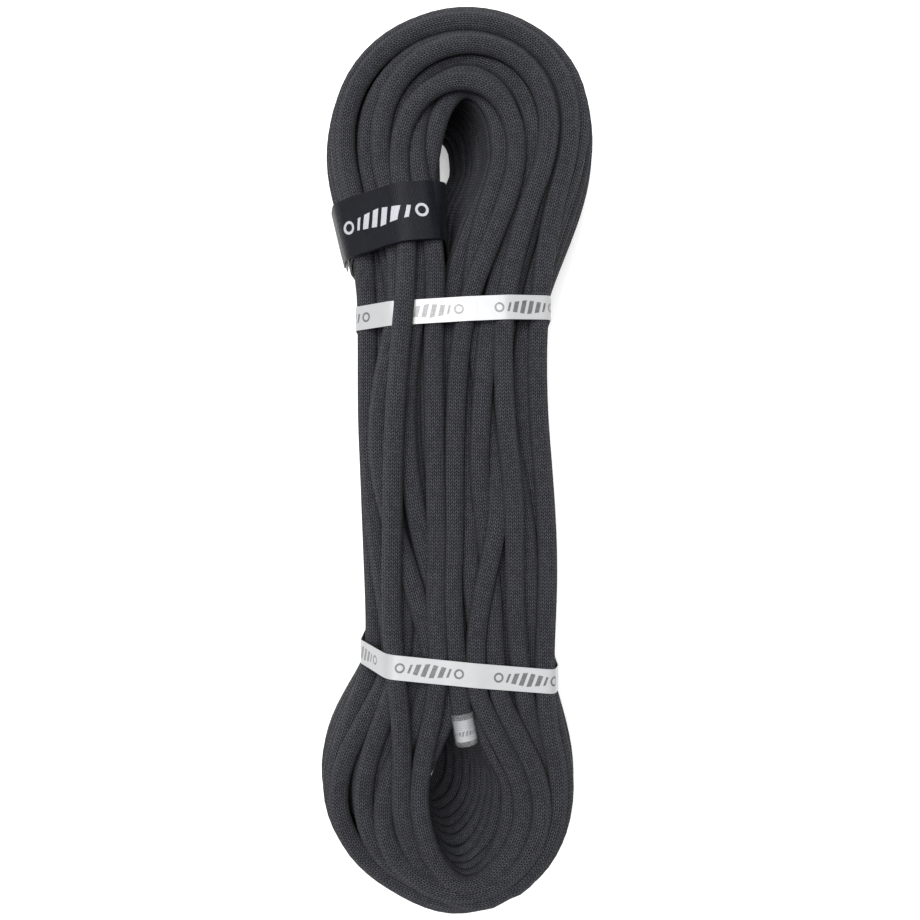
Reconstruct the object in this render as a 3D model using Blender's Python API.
"""Dynamic climbing rope wound into a shop hank, lying on its back.

The hank runs along Y, its width is X and its depth is Z. The origin is on the surface it lies on,
under the middle of its box. The wound turns are one plain solid with an eye in each round end. Both
ends of the rope, the two printed bands and the hook-and-loop strap are built piece by piece.
"""
import math

import bpy
import bmesh
from mathutils import Vector

# Rope
ROPE_DIAMETER = 0.010
SHEATH_WALL = 0.0009
OUTER_CORE_STRANDS = 8
INNER_CORE_STRANDS = 3
GAP = 0.0003                    # clearance between two pieces that touch

# Hank of wound turns
HANK_LENGTH = 0.492
HANK_WIDTH = 0.152
HANK_DEPTH = 0.118
WAIST_WIDTH = 0.102
WAIST_OFFSET = -0.003           # the waist's middle, left of the hank's
UPPER_NECK = 0.089              # from the waist's top up to the upper loop's centre
LOWER_NECK_LEFT = 0.069         # from the waist's bottom corners down to the lower loop's centre
LOWER_NECK_RIGHT = 0.056
UPPER_LOOP_RADIUS = 0.075
LOWER_LOOP_RADIUS = 0.069
RIM_RADIUS = 0.030
RIM_STEPS = 4
LOOP_STEPS = 26

# Eyes: the distance of each end's centre from the loop's centre, and its radius
UPPER_EYE_TIP = (0.003, 0.002, 0.014)
UPPER_EYE_THROAT = (-0.003, -0.058, 0.009)
LOWER_EYE_TIP = (0.008, -0.005, 0.017)
LOWER_EYE_THROAT = (0.005, 0.047, 0.010)
EYE_STEPS = 7

# Printed bands round the waist
BAND_WIDTH = 0.012
BAND_THICKNESS = 0.0004
TAB_THICKNESS = 0.0003          # of the glued tab that closes a band
BAND_GROOVE = 0.0016            # how far a band presses into the turns
UPPER_BAND_INSET = 0.0085       # from the waist's top to the band's middle
UPPER_BAND_SLOPE = 0.054
LOWER_BAND_INSET = 0.0035       # from the waist's bottom left corner to the band's middle
LOWER_BAND_SLOPE = -0.118
TAB_LENGTH = 0.016

# Hook-and-loop strap round the left side of the upper loop
STRAP_WIDTH = 0.028
STRAP_THICKNESS = 0.0012
PAD_THICKNESS = 0.0007
STRAP_DROP = 0.053              # from the upper loop's centre down to the strap's middle
STRAP_MIDDLE = -0.036
STRAP_SLOPE = 0.158
STRAP_START = 0.005             # from the eye's edge to the strap's sewn end
FOLD_PLACE = 0.0035             # from the eye's edge to the flap's fold
PAD_MARGIN = 0.0025             # from the strap's edge to a pad's edge

# Rope ends
END_SLEEVE_LENGTH = 0.016
END_SLEEVE_WALL = 0.0003
END_LABEL_LENGTH = 0.012
END_LABEL_WALL = 0.0002
END_TIP_LENGTH = 0.0025
END_CLEAR_OF_TURNS = 0.004      # how far past the turns' edge a sleeve starts
END_SIDES = 12

GROOVE_REACH = 0.004            # how far a cutter stands out of the surface it cuts
STRAND_SPACING = 2.4            # spacing of a tube's points, in rope diameters

LEFT_CORNER_X = WAIST_OFFSET - WAIST_WIDTH / 2
RIGHT_CORNER_X = WAIST_OFFSET + WAIST_WIDTH / 2
UPPER_LOOP_CENTRE = Vector((HANK_WIDTH / 2 - UPPER_LOOP_RADIUS, HANK_LENGTH / 2 - UPPER_LOOP_RADIUS))
LOWER_LOOP_CENTRE = Vector((LOWER_LOOP_RADIUS - HANK_WIDTH / 2, LOWER_LOOP_RADIUS - HANK_LENGTH / 2))
WAIST_TOP = UPPER_LOOP_CENTRE.y - UPPER_NECK
WAIST_BOTTOM_LEFT = LOWER_LOOP_CENTRE.y + LOWER_NECK_LEFT
WAIST_BOTTOM_RIGHT = LOWER_LOOP_CENTRE.y + LOWER_NECK_RIGHT
UPPER_BAND_PLACE = WAIST_TOP - UPPER_BAND_INSET
LOWER_BAND_PLACE = WAIST_BOTTOM_LEFT + LOWER_BAND_INSET
STRAP_PLACE = UPPER_LOOP_CENTRE.y - STRAP_DROP
STRAP_GROOVE = STRAP_THICKNESS + 2 * GAP
ROPE_RADIUS = ROPE_DIAMETER / 2


# ---------------------------------------------------------------- scene and materials

def clear_scene():
    for item in list(bpy.data.objects):
        bpy.data.objects.remove(item, do_unlink=True)


def material(name, colour, roughness, metallic=0.0, alpha=1.0):
    made = bpy.data.materials.new(name)
    made.use_nodes = True
    shader = made.node_tree.nodes["Principled BSDF"]
    shader.inputs["Base Color"].default_value = (*colour, 1.0)
    shader.inputs["Roughness"].default_value = roughness
    shader.inputs["Metallic"].default_value = metallic
    shader.inputs["Alpha"].default_value = alpha
    return made


def add_object(name, data, colour=(0.5, 0.5, 0.5), roughness=0.8, alpha=1.0):
    item = bpy.data.objects.new(name, data)
    bpy.context.collection.objects.link(item)
    item.data.materials.append(material(name + "_finish", colour, roughness, 0.0, alpha))
    return item


def add_mesh(name, shape, colour=(0.5, 0.5, 0.5), roughness=0.8, alpha=1.0, smooth_angle=40):
    """Turns a finished bmesh into an object, shaded smooth up to smooth_angle degrees."""
    bmesh.ops.recalc_face_normals(shape, faces=shape.faces)
    mesh = bpy.data.meshes.new(name)
    shape.to_mesh(mesh)
    shape.free()
    mesh.shade_smooth()
    mesh.set_sharp_from_angle(angle=math.radians(smooth_angle))
    return add_object(name, mesh, colour, roughness, alpha)


def cut(item, cutters):
    """Cuts item with all the cutters at once; they stay in the scene as hidden guides."""
    guides = bpy.data.collections.new(item.name + "_guides")
    for cutter in cutters:
        cutter.hide_render = True
        cutter.display_type = "WIRE"
        guides.objects.link(cutter)
    trim = item.modifiers.new("grooves", "BOOLEAN")
    trim.operation = "DIFFERENCE"
    trim.solver = "EXACT"
    trim.operand_type = "COLLECTION"
    trim.collection = guides


# ---------------------------------------------------------------- outlines

def arc(centre, radius, start, end, steps):
    """Points on a circle from angle start to angle end, both in radians."""
    turn = [start + (end - start) * step / steps for step in range(steps + 1)]
    return [centre + radius * Vector((math.cos(a), math.sin(a))) for a in turn]


def tangent_angle(corner, centre, radius, side):
    """Angle at which the straight line from corner touches the circle; side is 1 or -1."""
    away = corner - centre
    return math.atan2(away.y, away.x) + side * math.acos(radius / away.length)


def hank_outline():
    """The hank's outer edge seen from the front, anticlockwise."""
    top_right = Vector((RIGHT_CORNER_X, WAIST_TOP))
    top_left = Vector((LEFT_CORNER_X, WAIST_TOP))
    low_left = Vector((LEFT_CORNER_X, WAIST_BOTTOM_LEFT))
    low_right = Vector((RIGHT_CORNER_X, WAIST_BOTTOM_RIGHT))
    up_start = tangent_angle(top_right, UPPER_LOOP_CENTRE, UPPER_LOOP_RADIUS, 1)
    up_end = tangent_angle(top_left, UPPER_LOOP_CENTRE, UPPER_LOOP_RADIUS, -1) + 2 * math.pi
    low_start = tangent_angle(low_left, LOWER_LOOP_CENTRE, LOWER_LOOP_RADIUS, 1)
    low_end = tangent_angle(low_right, LOWER_LOOP_CENTRE, LOWER_LOOP_RADIUS, -1) + 2 * math.pi
    upper = arc(UPPER_LOOP_CENTRE, UPPER_LOOP_RADIUS, up_start, up_end, LOOP_STEPS)
    lower = arc(LOWER_LOOP_CENTRE, LOWER_LOOP_RADIUS, low_start, low_end, LOOP_STEPS)
    return [top_right] + upper + [top_left, low_left] + lower + [low_right]


def moved_in(outline, distance):
    """The outline with each edge moved inwards by distance; the outline runs anticlockwise."""
    moved = []
    count = len(outline)
    for index, point in enumerate(outline):
        before = (point - outline[index - 1]).normalized()
        after = (outline[(index + 1) % count] - point).normalized()
        in_before = Vector((-before.y, before.x))
        in_after = Vector((-after.y, after.x))
        mitre = (in_before + in_after) / (1 + in_before.dot(in_after))
        moved.append(point + mitre * distance)
    return moved


def rim_profile():
    """(inset, z, outward tilt) from the back face's edge, round the side, to the front face's."""
    quarter = [math.pi / 2 * step / RIM_STEPS for step in range(RIM_STEPS + 1)]
    rounding = [(RIM_RADIUS * (1 - math.cos(a)), RIM_RADIUS * (1 - math.sin(a)), a) for a in quarter]
    back = [(inset, z, -angle) for inset, z, angle in reversed(rounding)]
    front = [(inset, HANK_DEPTH - z, angle) for inset, z, angle in rounding]
    return back + front


def eye_circles(loop_centre, tip, throat):
    """Centres and radii of an eye's two round ends, the tip first."""
    return [(loop_centre + Vector(end[:2]), end[2]) for end in (tip, throat)]


def upper_eye():
    return eye_circles(UPPER_LOOP_CENTRE, UPPER_EYE_TIP, UPPER_EYE_THROAT)


def lower_eye():
    return eye_circles(LOWER_LOOP_CENTRE, LOWER_EYE_TIP, LOWER_EYE_THROAT)


def eye_outline(circles):
    """A slot with two round ends of different radii, joined by their common tangents."""
    (tip, tip_radius), (throat, throat_radius) = circles
    along = tip - throat
    facing = math.atan2(along.y, along.x)
    spread = math.acos((throat_radius - tip_radius) / along.length)
    first = arc(tip, tip_radius, facing - spread, facing + spread, EYE_STEPS)
    rest = arc(throat, throat_radius, facing + spread, facing + 2 * math.pi - spread, EYE_STEPS)
    return first + rest


def eye_wall(circles):
    """A point on the upper eye's left wall, and the wall's normal into the eye."""
    (tip, tip_radius), (throat, throat_radius) = circles
    along = tip - throat
    spread = math.acos((throat_radius - tip_radius) / along.length)
    angle = math.atan2(along.y, along.x) + spread
    outward = Vector((math.cos(angle), math.sin(angle)))
    return throat + throat_radius * outward, -outward


# ---------------------------------------------------------------- the wound turns

def add_ring(shape, outline, z):
    verts = [shape.verts.new((point.x, point.y, z)) for point in outline]
    edges = [shape.edges.new((verts[index - 1], verts[index])) for index in range(len(verts))]
    return verts, edges


def join_rings(shape, one, other):
    for index in range(len(one)):
        shape.faces.new((one[index - 1], one[index], other[index], other[index - 1]))


def hank_solid():
    shape = bmesh.new()
    outline = hank_outline()
    rings = [add_ring(shape, moved_in(outline, inset), z) for inset, z, _ in rim_profile()]
    for (one, _), (other, _) in zip(rings, rings[1:]):
        join_rings(shape, one, other)
    caps = [list(rings[0][1]), list(rings[-1][1])]
    for circles in (upper_eye(), lower_eye()):
        back, back_edges = add_ring(shape, eye_outline(circles), 0.0)
        front, front_edges = add_ring(shape, eye_outline(circles), HANK_DEPTH)
        join_rings(shape, back, front)
        caps[0] += back_edges
        caps[1] += front_edges
    for cap in caps:
        bmesh.ops.triangle_fill(shape, use_beauty=True, edges=cap)
    return add_mesh("rope_hank", shape, (0.05, 0.05, 0.055), 0.85, smooth_angle=50)


# ---------------------------------------------------------------- strips that wrap the turns

def strip(shape, low_edge, high_edge, offset, thickness, closed=False):
    """Adds a strip that lies offset from the surface between two rows of (point, normal) pairs."""
    rows = []
    for (low, low_normal), (high, high_normal) in zip(low_edge, high_edge):
        top = offset + thickness
        corners = (low + low_normal * offset, low + low_normal * top,
                   high + high_normal * top, high + high_normal * offset)
        rows.append([shape.verts.new(corner) for corner in corners])
    count = len(rows)
    for index in range(count if closed else count - 1):
        here = rows[index]
        there = rows[(index + 1) % count]
        for side in range(4):
            after = (side + 1) % 4
            shape.faces.new((here[side], here[after], there[after], there[side]))
    if not closed:
        shape.faces.new(rows[0])
        shape.faces.new(rows[-1])


def waist_edge(place, slope, shift):
    """(point, normal) pairs once round the waist, starting and ending on the back's middle."""
    def at(x, z, normal):
        return Vector((x, place + slope * x + shift, z)), normal
    down = Vector((0, 0, -1))
    edge = [at(WAIST_OFFSET - TAB_LENGTH / 4, 0.0, down)]
    for side, corner_x in ((-1, LEFT_CORNER_X), (1, RIGHT_CORNER_X)):
        profile = rim_profile() if side < 0 else list(reversed(rim_profile()))
        for inset, z, angle in profile:
            normal = Vector((side * math.cos(angle), 0, math.sin(angle)))
            edge.append(at(corner_x - side * inset, z, normal))
    edge.append(at(WAIST_OFFSET + TAB_LENGTH / 4, 0.0, down))
    return edge


def band_groove(name, place, slope):
    shape = bmesh.new()
    half = BAND_WIDTH / 2 + GAP
    low = waist_edge(place, slope, -half)[1:-1]
    high = waist_edge(place, slope, half)[1:-1]
    strip(shape, low, high, -BAND_GROOVE, BAND_GROOVE + GROOVE_REACH, closed=True)
    return add_mesh(name, shape)


def band(name, place, slope):
    """A paper band whose two ends nearly meet at the back, where a glued tab joins them."""
    shape = bmesh.new()
    low = waist_edge(place, slope, -BAND_WIDTH / 2)
    high = waist_edge(place, slope, BAND_WIDTH / 2)
    strip(shape, low, high, GAP - BAND_GROOVE, BAND_THICKNESS)
    return add_mesh(name, shape, (0.83, 0.83, 0.83), 0.5)


def band_tab(name, place, slope):
    """The glued tab over a band's two ends, on the hank's back."""
    shape = bmesh.new()
    edges = []
    for shift in (-BAND_WIDTH / 2, BAND_WIDTH / 2):
        ends = [WAIST_OFFSET + x for x in (-TAB_LENGTH / 2, TAB_LENGTH / 2)]
        edges.append([(Vector((x, place + slope * x + shift, 0)), Vector((0, 0, -1))) for x in ends])
    offset = GAP - BAND_GROOVE + BAND_THICKNESS + GAP
    strip(shape, edges[0], edges[1], offset, TAB_THICKNESS)
    return add_mesh(name, shape, (0.8, 0.8, 0.8), 0.45)


def flank_slant():
    """Lean of the straight side between the waist's top left corner and the upper loop."""
    corner = Vector((LEFT_CORNER_X, WAIST_TOP))
    angle = tangent_angle(corner, UPPER_LOOP_CENTRE, UPPER_LOOP_RADIUS, -1)
    return angle + math.pi


def strap_height(x, shift):
    return STRAP_PLACE + STRAP_SLOPE * (x - STRAP_MIDDLE) + shift


def solve_strap_x(x_from_y, shift):
    """x of the strap's edge where it crosses a wall whose x depends on y."""
    x = STRAP_MIDDLE
    for _ in range(12):
        x = x_from_y(strap_height(x, shift))
    return x


def strap_edge(shift):
    """(point, normal) pairs once round the strap's path, from the fold at the front round the
    eye's wall, the back and the outer side to the flat front again."""
    wall_point, wall_normal = eye_wall(upper_eye())
    slant = flank_slant()

    def eye_x(y):
        return wall_point.x - (y - wall_point.y) * wall_normal.y / wall_normal.x

    def place(x, z, normal):
        return Vector((x, strap_height(x, shift), z)), Vector(normal)

    eye_edge = solve_strap_x(eye_x, shift)
    front = HANK_DEPTH
    into_eye = (wall_normal.x, wall_normal.y)
    edge = [place(eye_edge - STRAP_START, front, (0, 0, 1)),
            place(eye_edge, front, (*into_eye, 1)),
            place(eye_edge, 0.0, (*into_eye, -1))]
    for inset, z, angle in rim_profile():
        def side_x(y, inset=inset):
            return LEFT_CORNER_X - (y - WAIST_TOP) * math.tan(slant) + inset / math.cos(slant)
        flat = math.cos(angle)
        normal = (-math.cos(slant) * flat, -math.sin(slant) * flat, math.sin(angle))
        edge.append(place(solve_strap_x(side_x, shift), z, normal))
    edge.append(place(eye_edge - 2 * STRAP_START - FOLD_PLACE, front, (0, 0, 1)))
    return edge


def strap_groove():
    shape = bmesh.new()
    half = STRAP_WIDTH / 2 + GAP
    low = strap_edge(-half)[1:-1]
    high = strap_edge(half)[1:-1]
    strip(shape, low, high, -STRAP_GROOVE, STRAP_GROOVE + GROOVE_REACH, closed=True)
    return add_mesh("strap_groove", shape)


def strap_webbing():
    """The strap from its sewn end at the front, round the bundle, to its tail under the flap."""
    shape = bmesh.new()
    low = strap_edge(-STRAP_WIDTH / 2)
    high = strap_edge(STRAP_WIDTH / 2)
    strip(shape, low, high, GAP - STRAP_GROOVE, STRAP_THICKNESS)
    return add_mesh("strap_webbing", shape, (0.03, 0.03, 0.035), 0.6)


def front_layer(name, first, last, shrink, offset, thickness, colour, start=None):
    """A layer of the closure, over the rim's steps first to last of the strap's front side."""
    half = STRAP_WIDTH / 2 - shrink
    rows = []
    for shift in (-half, half):
        edge = strap_edge(shift)
        around = edge[3 + first:3 + last]
        if start is not None:
            eye_edge = edge[1][0].x
            x = eye_edge - start
            around.append((Vector((x, strap_height(x, shift), HANK_DEPTH)), Vector((0, 0, 1))))
        rows.append(around)
    shape = bmesh.new()
    strip(shape, rows[0], rows[1], offset, thickness)
    return add_mesh(name, shape, colour, 0.75)


def closure_offsets():
    """How far each layer of the closure stands off the turns, from the loop pad up."""
    loop_pad = GAP - STRAP_GROOVE + STRAP_THICKNESS + GAP
    hook_pad = loop_pad + PAD_THICKNESS + GAP
    flap = hook_pad + PAD_THICKNESS + GAP
    return loop_pad, hook_pad, flap


def fold_axis():
    """A point on the flap's fold line, and the line's direction along the strap's width."""
    ends = []
    for shift in (-STRAP_WIDTH / 2, STRAP_WIDTH / 2):
        eye_edge = strap_edge(shift)[1][0].x
        x = eye_edge - FOLD_PLACE
        ends.append(Vector((x, strap_height(x, shift), HANK_DEPTH + closure_offsets()[1])))
    return (ends[0] + ends[1]) / 2, (ends[1] - ends[0]).normalized()


def closure():
    """The strap's loop pad, and the peeling flap with its hook pad and felt lining."""
    loop_pad, hook_pad, flap = closure_offsets()
    rim = RIM_STEPS + 1
    front_layer("strap_loop_pad", rim + 1, 2 * rim, PAD_MARGIN, loop_pad, PAD_THICKNESS,
                (0.04, 0.04, 0.045))
    moving = [
        front_layer("strap_hook_pad", rim + 2, 2 * rim, PAD_MARGIN, hook_pad, PAD_THICKNESS,
                    (0.03, 0.03, 0.03)),
        front_layer("flap_end_lining", rim, rim + 2, PAD_MARGIN / 2, hook_pad, PAD_THICKNESS,
                    (0.22, 0.22, 0.23)),
        front_layer("strap_flap", rim, 2 * rim, 0.0, flap, STRAP_THICKNESS, (0.03, 0.03, 0.035),
                    start=FOLD_PLACE),
    ]
    fold, direction = fold_axis()
    pivot = bpy.data.objects.new("flap_fold", None)
    bpy.context.collection.objects.link(pivot)
    pivot.location = fold
    for piece in moving:
        piece.data.transform(pivot.matrix_basis.inverted())
        piece.parent = pivot
    return fold, direction


# ---------------------------------------------------------------- rope stretches outside the turns

def catmull_rom(points, spacing):
    """Points every spacing or so along a smooth curve through the given ones."""
    padded = [2 * points[0] - points[1]] + points + [2 * points[-1] - points[-2]]
    fine = []
    for a, b, c, d in zip(padded, padded[1:], padded[2:], padded[3:]):
        for step in range(20):
            t = step / 20
            fine.append(0.5 * (2 * b + (c - a) * t + (2 * a - 5 * b + 4 * c - d) * t ** 2
                               + (3 * b - a - 3 * c + d) * t ** 3))
    fine.append(points[-1])
    travelled = [0.0]
    for one, other in zip(fine, fine[1:]):
        travelled.append(travelled[-1] + (other - one).length)
    count = max(2, round(travelled[-1] / spacing))
    route = []
    index = 0
    for step in range(count + 1):
        target = travelled[-1] * step / count
        while index < len(fine) - 2 and travelled[index + 1] < target:
            index += 1
        share = (target - travelled[index]) / (travelled[index + 1] - travelled[index])
        route.append(fine[index].lerp(fine[index + 1], share))
    return route


def tube(name, route, radius, colour, roughness=0.85):
    """A solid round tube along a route, with filled ends."""
    line = bpy.data.curves.new(name, "CURVE")
    line.dimensions = "3D"
    line.bevel_depth = radius
    line.bevel_resolution = 2
    line.use_fill_caps = True
    spline = line.splines.new("POLY")
    spline.points.add(len(route) - 1)
    for point, place in zip(spline.points, route):
        point.co = (*place, 1.0)
    spline.use_smooth = True
    return add_object(name, line, colour, roughness)


def beside(route, across, up):
    """The route moved sideways by across and along Z by up, at right angles to its run."""
    moved = []
    for index, place in enumerate(route):
        before = route[max(index - 1, 0)]
        after = route[min(index + 1, len(route) - 1)]
        run = (after - before).normalized()
        side = run.cross(Vector((0, 0, 1))).normalized()
        moved.append(place + side * across + Vector((0, 0, up)))
    return moved


def hollow_tube(name, route, outer, inner, colour, roughness=0.85, alpha=1.0):
    """A round tube with a bore, open at both ends."""
    shape = bmesh.new()
    rings = []
    for radius in (outer, inner):
        wall = []
        for side in range(END_SIDES):
            angle = 2 * math.pi * side / END_SIDES
            wall.append(beside(route, radius * math.cos(angle), radius * math.sin(angle)))
        rings.append([[shape.verts.new(wall[side][index]) for side in range(END_SIDES)]
                      for index in range(len(route))])
    for wall in rings:
        for one, other in zip(wall, wall[1:]):
            join_rings(shape, one, other)
    for end in (0, -1):
        join_rings(shape, rings[0][end], rings[1][end])
    return add_mesh(name, shape, colour, roughness, alpha)


def core_places():
    """(radius of a core strand, its places across the rope) so that all strands fill the bore."""
    bore = ROPE_RADIUS - SHEATH_WALL
    inner_ring = 1 / math.sin(math.pi / INNER_CORE_STRANDS)
    strand = (bore - 2 * GAP - inner_ring * GAP / 2) / (3 + inner_ring)
    rings = ((OUTER_CORE_STRANDS, bore - GAP - strand),
             (INNER_CORE_STRANDS, inner_ring * (strand + GAP / 2)))
    places = []
    for count, radius in rings:
        for number in range(count):
            angle = 2 * math.pi * number / count
            places.append((radius * math.cos(angle), radius * math.sin(angle)))
    return strand, places


def part_of_route(route, start, length):
    """The stretch of a route that begins start back from its end and is length long."""
    whole = sum((b - a).length for a, b in zip(route, route[1:]))
    fine = catmull_rom(route, whole / 200)
    step = whole / 200
    last = len(fine) - 1 - round(start / step)
    first = last - round(length / step)
    picks = [first + (last - first) * share // 3 for share in range(4)]
    return [fine[pick] for pick in picks]


def end_tip(name, route, colour):
    """The melted end that seals sheath and core, a short plug with a domed face."""
    run = (route[-1] - route[-2]).normalized()
    start = route[-1] + run * GAP
    outer = ROPE_RADIUS - SHEATH_WALL / 3
    shape = bmesh.new()
    rings = []
    for along, share in ((0.0, 0.97), (0.35, 1.0), (0.8, 0.82), (1.0, 0.5)):
        centre = start + run * END_TIP_LENGTH * along
        line = [centre - run * 0.001, centre, centre + run * 0.001]
        ring = []
        for side in range(END_SIDES):
            angle = 2 * math.pi * side / END_SIDES
            radius = outer * share
            spot = beside(line, radius * math.cos(angle), radius * math.sin(angle))[1]
            ring.append(shape.verts.new(spot))
        rings.append(ring)
    for one, other in zip(rings, rings[1:]):
        join_rings(shape, one, other)
    shape.faces.new(rings[0])
    shape.faces.new(rings[-1])
    return add_mesh(name, shape, colour, 0.35)


def end_sleeve_radius():
    """Outer radius of the clear sleeve, which covers the label, which covers the sheath."""
    return ROPE_RADIUS + GAP + END_LABEL_WALL + GAP + END_SLEEVE_WALL


def rope_end(prefix, points):
    """One end of the rope: sheath, core strands, melted tip, printed label and clear sleeve."""
    route = catmull_rom([Vector(point) for point in points], STRAND_SPACING * ROPE_DIAMETER)
    hollow_tube(prefix + "_sheath", route, ROPE_RADIUS, ROPE_RADIUS - SHEATH_WALL,
                (0.05, 0.05, 0.055))
    strand, places = core_places()
    for number, (across, up) in enumerate(places, 1):
        tube(prefix + "_core_strand_" + str(number), beside(route, across, up), strand,
             (0.75, 0.73, 0.68), 0.7)
    end_tip(prefix + "_melted_tip", route, (0.02, 0.02, 0.02))
    label = ROPE_RADIUS + GAP
    margin = (END_SLEEVE_LENGTH - END_LABEL_LENGTH) / 2
    hollow_tube(prefix + "_printed_label", part_of_route(route, margin, END_LABEL_LENGTH),
                label + END_LABEL_WALL, label, (0.78, 0.78, 0.78), 0.5)
    sleeve = end_sleeve_radius()
    hollow_tube(prefix + "_clear_sleeve", part_of_route(route, 0.0, END_SLEEVE_LENGTH),
                sleeve, sleeve - END_SLEEVE_WALL, (0.8, 0.82, 0.84), 0.15, 0.4)
    return route


def channel(name, route, bottom, top):
    """A square-bottomed cutter along a route, from height bottom to height top."""
    half = end_sleeve_radius() + GAP
    run = (route[0] - route[1]).normalized()
    line = [route[0] + run * GAP] + route[1:]
    shape = bmesh.new()
    rows = []
    for left, right in zip(beside(line, -half, 0.0), beside(line, half, 0.0)):
        corners = ((left.x, left.y, bottom), (right.x, right.y, bottom),
                   (right.x, right.y, top), (left.x, left.y, top))
        rows.append([shape.verts.new(corner) for corner in corners])
    for one, other in zip(rows, rows[1:]):
        join_rings(shape, one, other)
    shape.faces.new(rows[0])
    shape.faces.new(rows[-1])
    return add_mesh(name, shape)


def front_end_points():
    """The end tucked under the lower band at the front, which stops over the lower eye."""
    z = HANK_DEPTH - BAND_GROOVE - GAP - ROPE_RADIUS
    throat, radius = lower_eye()[1]
    eye_top = throat.y + radius
    end = -END_SLEEVE_LENGTH - END_CLEAR_OF_TURNS
    places = ((-0.004, 0.068), (-0.003, 0.040), (-0.001, 0.012), (0.001, -0.006), (0.0035, end))
    return [(throat.x + x + 0.002, eye_top + y, z) for x, y in places]


def back_end_points():
    """The end tucked under the upper band at the back, which stops behind the upper eye."""
    z = BAND_GROOVE + GAP + ROPE_RADIUS
    throat, radius = upper_eye()[1]
    eye_bottom = throat.y - radius
    end = END_SLEEVE_LENGTH + END_CLEAR_OF_TURNS
    places = ((0.001, -0.072), (0.003, -0.045), (0.002, -0.018), (0.002, 0.0), (0.002, end))
    return [(throat.x + x, eye_bottom + y, z) for x, y in places]


def crossing_strand():
    """The one strand that lies over the upper band; it starts below the strap's lower edge."""
    z = HANK_DEPTH + GAP + ROPE_RADIUS
    top = strap_height(-0.026, -STRAP_WIDTH / 2) - 4 * GAP
    places = ((-0.026, top), (-0.0275, top - 0.028), (-0.0305, top - 0.072), (-0.0325, top - 0.112),
              (-0.031, top - 0.152))
    points = [Vector((x, y, z)) for x, y in places]
    route = catmull_rom(points, STRAND_SPACING * ROPE_DIAMETER)
    return tube("strand_over_upper_band", route, ROPE_RADIUS, (0.05, 0.05, 0.055))


def build():
    clear_scene()
    hank = hank_solid()
    band("upper_band", UPPER_BAND_PLACE, UPPER_BAND_SLOPE)
    band_tab("upper_band_glued_tab", UPPER_BAND_PLACE, UPPER_BAND_SLOPE)
    band("lower_band", LOWER_BAND_PLACE, LOWER_BAND_SLOPE)
    band_tab("lower_band_glued_tab", LOWER_BAND_PLACE, LOWER_BAND_SLOPE)
    strap_webbing()
    fold, direction = closure()
    front = rope_end("front_end", front_end_points())
    back = rope_end("back_end", back_end_points())
    crossing_strand()
    reach = ROPE_RADIUS + 2 * GAP
    cut(hank, [
        band_groove("upper_band_groove", UPPER_BAND_PLACE, UPPER_BAND_SLOPE),
        band_groove("lower_band_groove", LOWER_BAND_PLACE, LOWER_BAND_SLOPE),
        strap_groove(),
        channel("front_end_channel", front, front[0].z - reach, HANK_DEPTH + GROOVE_REACH),
        channel("back_end_channel", back, -GROOVE_REACH, back[0].z + reach),
    ])
    print("flap fold at", [round(v, 5) for v in fold], "along", [round(v, 5) for v in direction])


build()
